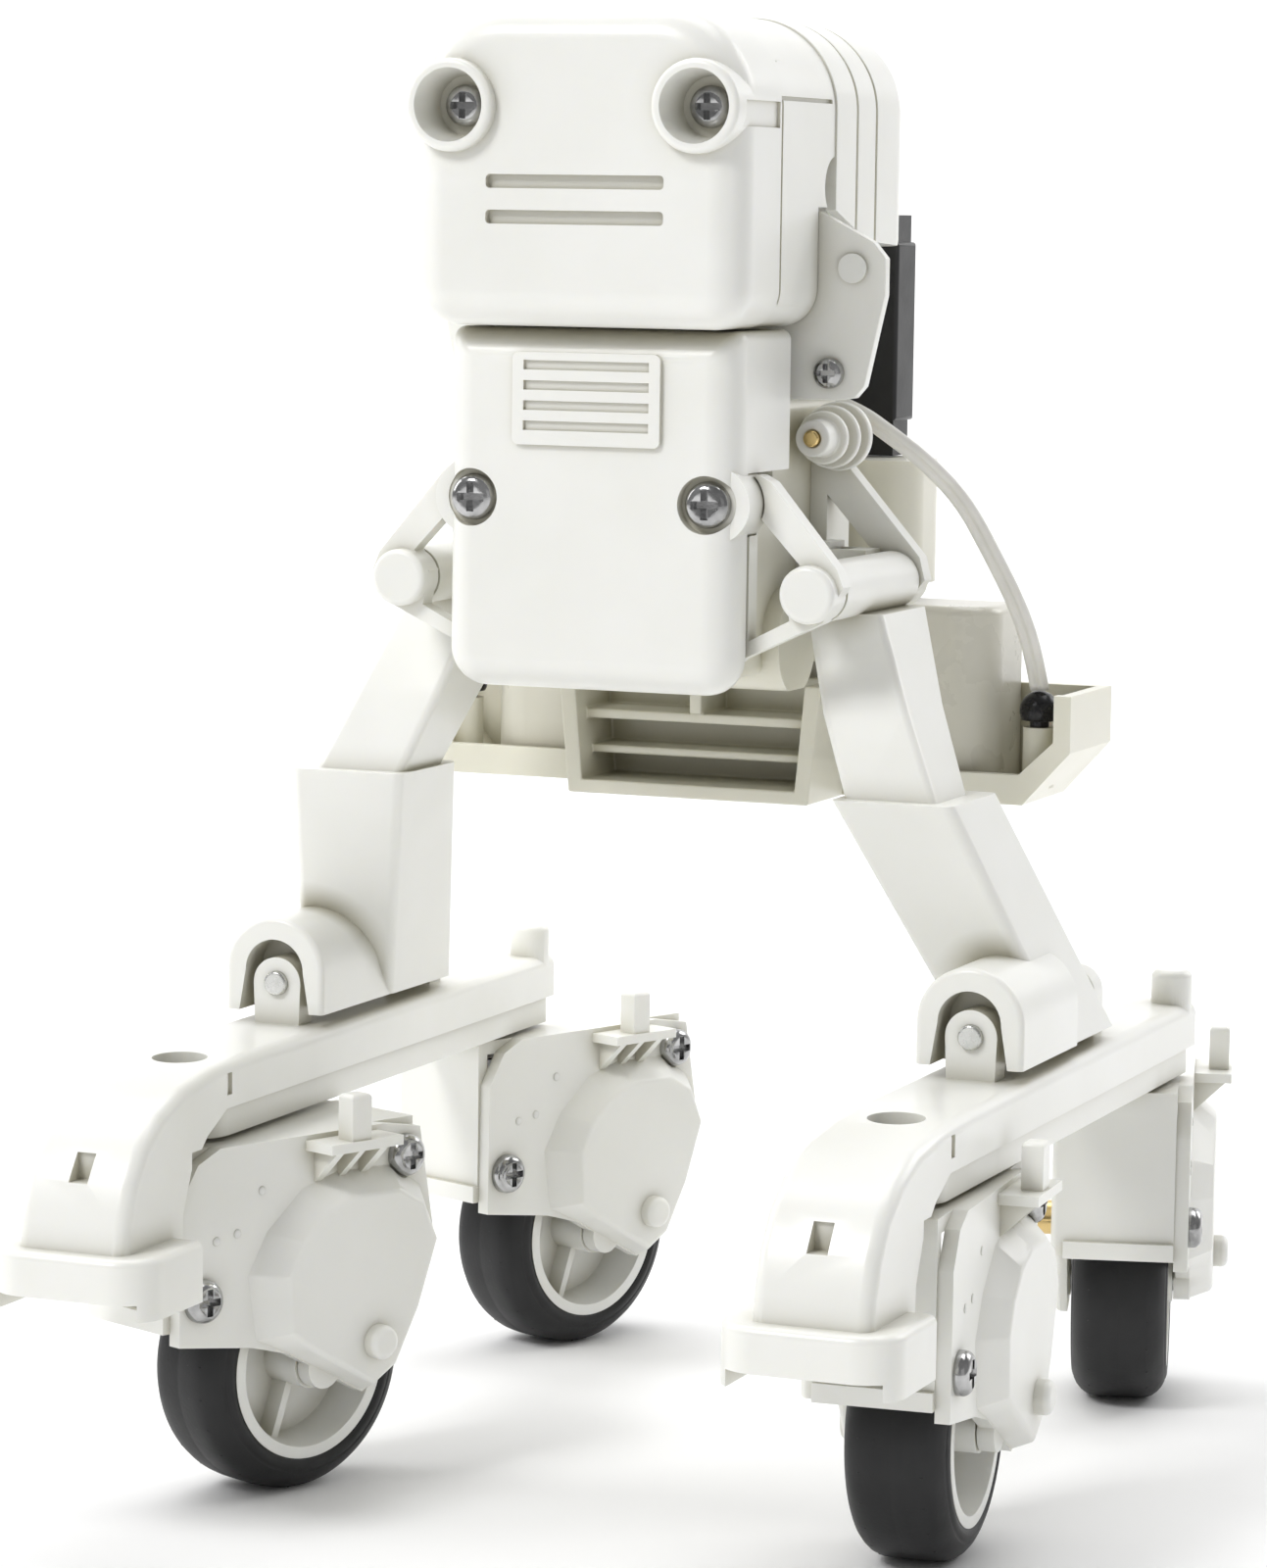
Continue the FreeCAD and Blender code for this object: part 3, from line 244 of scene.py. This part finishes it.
def tyre(name, centre, axis, body):
    R, w, ri = TYRE_R, TYRE_W / 2, RIM_R + 0.03
    half = [(0.0, R - 0.02), (0.16, R - 0.02), (0.3, R), (2.4, R - 0.02), (3.4, R - 0.12), (4.3, R - 0.42), (5.0, R - 0.95), (5.55, R - 1.6), (5.85, R - 2.2), (5.92, R - 2.35), (5.86, R - 2.5), (6.06, R - 2.7), (w, R - 3.2), (w, ri + 0.55), (w - 0.15, ri + 0.3), (w - 0.15, ri)]
    prof = [(-x, r) for x, r in reversed(half[1:])] + half
    n = 128
    bm = bmesh.new()
    side = axis.cross(Vector((0, 0, 1))).normalized()
    upv = side.cross(axis).normalized()
    ring = []
    for i in range(n):
        a = 2 * math.pi * i / n
        d = side * math.cos(a) + upv * math.sin(a)
        ring.append([bm.verts.new(centre + (axis * x + d * r) / 1000.0) for x, r in prof])
    k = len(prof)
    for i in range(n):
        a, b = ring[i], ring[(i + 1) % n]
        for j in range(k - 1):
            bm.faces.new((a[j], a[j + 1], b[j + 1], b[j]))
        bm.faces.new((a[k - 1], a[0], b[0], b[k - 1]))
    ob = mesh_from(bm, name)
    link(ob, body, M["rubber"])
    # short raised ticks near both shoulders, as moulding vents leave
    bm = bmesh.new()
    for i in range(24):
        a = 2 * math.pi * (i + 0.35) / 24
        d = side * math.cos(a) + upv * math.sin(a)
        tdir = side * -math.sin(a) + upv * math.cos(a)
        for sx in (-1, 1):
            vs = []
            for (x, t, r) in ((1.7, -0.09, R - 0.06), (3.9, -0.09, R - 0.3), (3.9, 0.09, R - 0.3), (1.7, 0.09, R - 0.06), (1.8, -0.05, R + 0.035), (3.8, -0.05, R - 0.17), (3.8, 0.05, R - 0.17), (1.8, 0.05, R + 0.035)):
                vs.append(bm.verts.new(centre + (axis * (x * sx) + d * min(r, R - 0.005) + tdir * t) / 1000.0))
            for f in ((0, 1, 2, 3), (4, 5, 6, 7), (0, 1, 5, 4), (1, 2, 6, 5), (2, 3, 7, 6), (3, 0, 4, 7)):
                bm.faces.new([vs[q] for q in f])
    tk = mesh_from(bm, name + "_ticks")
    link(tk, body, M["rubber"])
    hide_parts(name.replace("tyre_skin", "tyre"))


for pos, (px, py) in PIV.items():
    t = math.radians(SWIVEL[pos])
    c = P(px + TRAIL * math.sin(t), py + TRAIL * math.cos(t), TYRE_R)
    tyre("tyre_skin_" + pos, c, Vector((math.cos(t), -math.sin(t), 0)), "wheel_" + pos)

# ---- small moulding dots on the wheel covers, and the brass end on each fork's far side ---------
def local(pos, x, y, z):
    t = math.radians(SWIVEL[pos])
    px, py = PIV[pos]
    return P(px + x * math.cos(t) + y * math.sin(t), py - x * math.sin(t) + y * math.cos(t), z)


for pos in PIV:
    t = math.radians(SWIVEL[pos])
    ax = Vector((math.cos(t), -math.sin(t), 0))
    tr = Vector((math.sin(t), math.cos(t), 0))
    bm = bmesh.new()
    for y, z in ((-1.6, 33.4), (1.6, 33.9), (5.4, 38.6)):
        base = local(pos, 8.78, y, z)
        rings = []
        for r, h in ((0.55, 0.0), (0.5, 0.12), (0.34, 0.2), (0.16, 0.235)):
            rings.append([bm.verts.new(base + (ax * h + tr * (r * math.cos(k * math.pi / 8)) + Vector((0, 0, r * math.sin(k * math.pi / 8)))) / 1000.0) for k in range(16)])
        for a_, b_ in zip(rings, rings[1:]):
            for k in range(16):
                bm.faces.new((a_[k], a_[(k + 1) % 16], b_[(k + 1) % 16], b_[k]))
        bm.faces.new(rings[-1])
        bm.faces.new(rings[0][::-1])
    dots = mesh_from(bm, "cover_dots_" + pos)
    link(dots, "caster_" + pos, M["abs"])
    fork = NODES["fork_" + pos]
    fork.data.materials.append(M["brass"])
    hub_pt = local(pos, -9.6, -4.6, 27.4)
    for p in fork.data.polygons:
        c_ = p.center
        rel = c_ - hub_pt
        along = rel.dot(ax)
        if abs(along) < 0.0011 and (rel - ax * along).length < 0.0024:
            p.material_index = 1

# ---- cooling fins and side clips on the receiver case -------------------------------------------
bm = bmesh.new()


def bar(x0, x1, y0, y1, z0, z1, ch=0.3):
    """rounded bar standing on the plane y0, chamfered all round its outer face"""
    low = [bm.verts.new(P(x, y0, z)) for x, z in ((x0, z0), (x1, z0), (x1, z1), (x0, z1))]
    mid_ = [bm.verts.new(P(x, y1 - ch, z)) for x, z in ((x0, z0), (x1, z0), (x1, z1), (x0, z1))]
    top_ = [bm.verts.new(P(x, y1, z)) for x, z in ((x0 + ch, z0 + ch), (x1 - ch, z0 + ch), (x1 - ch, z1 - ch), (x0 + ch, z1 - ch))]
    for a_, b_ in ((low, mid_), (mid_, top_)):
        for k in range(4):
            bm.faces.new((a_[k], a_[(k + 1) % 4], b_[(k + 1) % 4], b_[k]))
    bm.faces.new(top_)
    bm.faces.new(low[::-1])


for i in range(8):
    z = 132.6 + i * 2.1
    bar(-13.6, 13.6, 31.45, 32.5, z, z + 1.1)
for x in (-16.2, 14.8):
    bar(x, x + 1.4, 31.45, 32.1, 131.0, 148.6)
fins = mesh_from(bm, "receiver_fins")
for p in fins.data.polygons:
    p.use_smooth = False
link(fins, "robot_body", M["black"])

# ---- power lead: two conductors side by side on one smooth curve ------------------------------
LEAD = [(15.9, 6.6, 131.2), (19.4, 5.0, 130.3), (23.7, 4.2, 127.7), (27.6, 6.0, 124.6), (31.3, 9.5, 119.8), (34.0, 12.0, 113.8), (37.0, 14.2, 107.0), (38.4, 16.6, 101.2), (38.8, 18.3, 96.3)]
cu = bpy.data.curves.new("lead_route", "CURVE")
cu.dimensions = "3D"
sp = cu.splines.new("NURBS")
sp.points.add(len(LEAD) - 1)
for q, pt in zip(sp.points, LEAD):
    v = P(*pt)
    q.co = (v.x, v.y, v.z, 1)
sp.order_u = 3
sp.use_endpoint_u = True
sp.resolution_u = 12
tmp = bpy.data.objects.new("lead_route", cu)
me = bpy.data.meshes.new_from_object(tmp)
path = [v.co.copy() for v in me.vertices]
bpy.data.objects.remove(tmp)


def tube_along(bm, pts, prof):
    """sweeps a closed profile of (across, along-normal) offsets in mm"""
    rings = []
    nrm = None
    for i, p in enumerate(pts):
        d = (pts[min(i + 1, len(pts) - 1)] - pts[max(i - 1, 0)]).normalized()
        if nrm is None:
            nrm = d.cross(Vector((0, 1, 0.3))).normalized()
        nrm = (nrm - d * nrm.dot(d)).normalized()
        bn = d.cross(nrm)
        rings.append([bm.verts.new(p + (nrm * a + bn * b) / 1000.0) for a, b in prof])
    n = len(prof)
    for r1, r2_ in zip(rings, rings[1:]):
        for j in range(n):
            bm.faces.new((r1[j], r1[(j + 1) % n], r2_[(j + 1) % n], r2_[j]))
    bm.faces.new(rings[0][::-1])
    bm.faces.new(rings[-1])


fig8 = []
for s_, a0 in ((1, -140), (-1, 40)):
    for i in range(15):
        a = math.radians(a0 + 280 * i / 14)
        fig8.append((s_ * 0.0 + (0.6 if s_ > 0 else -0.6) + 0.62 * math.cos(a), 0.62 * math.sin(a)))
bm = bmesh.new()
tube_along(bm, path, fig8)
lead = mesh_from(bm, "twin_lead")
link(lead, "robot_body", M["lead"])
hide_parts("power_lead")

# ---- floor and light --------------------------------------------------------------------------
bm = bmesh.new()
prof = [(-2.5, 0.0), (0.9, 0.0)]
for i in range(1, 49):
    a = math.pi / 2 * i / 48
    prof.append((0.9 + 2.4 * math.sin(a), 2.4 - 2.4 * math.cos(a)))
prof.append((3.3, 4.5))
rows = [[bm.verts.new((x, y, z)) for y, z in prof] for x in (-6.0, 6.0)]
for j in range(len(prof) - 1):
    bm.faces.new((rows[0][j], rows[1][j], rows[1][j + 1], rows[0][j + 1]))
floor = mesh_from(bm, "studio_sweep")
bpy.context.scene.collection.objects.link(floor)
fm, nt, b = new_mat("studio_paper")
nz = nt.nodes.new("ShaderNodeTexNoise")
nz.inputs["Scale"].default_value = 30
mr = nt.nodes.new("ShaderNodeMapRange")
mr.inputs["To Min"].default_value = 0.75
mr.inputs["To Max"].default_value = 0.9
nt.links.new(nz.outputs["Fac"], mr.inputs["Value"])
nt.links.new(mr.outputs[0], b.inputs["Roughness"])
b.inputs["Base Color"].default_value = (0.93, 0.93, 0.93, 1)
floor.data.materials.append(fm)


def area(name, loc, target, size, power, col=(1, 1, 1), sy=None):
    ld = bpy.data.lights.new(name, "AREA")
    ld.energy = power
    ld.color = col
    ld.shape = "RECTANGLE"
    ld.size = size
    ld.size_y = sy or size
    o = bpy.data.objects.new(name, ld)
    o.location = loc
    d = Vector(target) - Vector(loc)
    o.rotation_euler = d.to_track_quat("-Z", "Y").to_euler()
    bpy.context.scene.collection.objects.link(o)


area("key", (-0.42, -0.85, 0.95), (0, 0, 0.09), 0.34, 7.6)
area("side", (-1.0, -0.05, 0.5), (0, 0, 0.09), 0.5, 2.4)
area("fill", (0.85, -0.75, 0.25), (0, 0, 0.09), 0.7, 0.35)
area("rim", (0.55, 0.75, 0.6), (0, 0, 0.1), 0.5, 2.6)
area("backdrop", (-0.6, 1.1, 2.6), (-0.6, 3.0, 0.4), 3.0, 80.0)
world = bpy.data.worlds.new("studio")
bpy.context.scene.world = world
world.use_nodes = True
bg = world.node_tree.nodes.get("Background") or world.node_tree.nodes.new("ShaderNodeBackground")
bg.inputs[0].default_value = (1, 1, 1, 1)
bg.inputs[1].default_value = 0.30
bpy.context.scene.view_settings.view_transform = "Standard"
bpy.context.scene.view_settings.look = "None"
bpy.context.scene.view_settings.exposure = 0.0
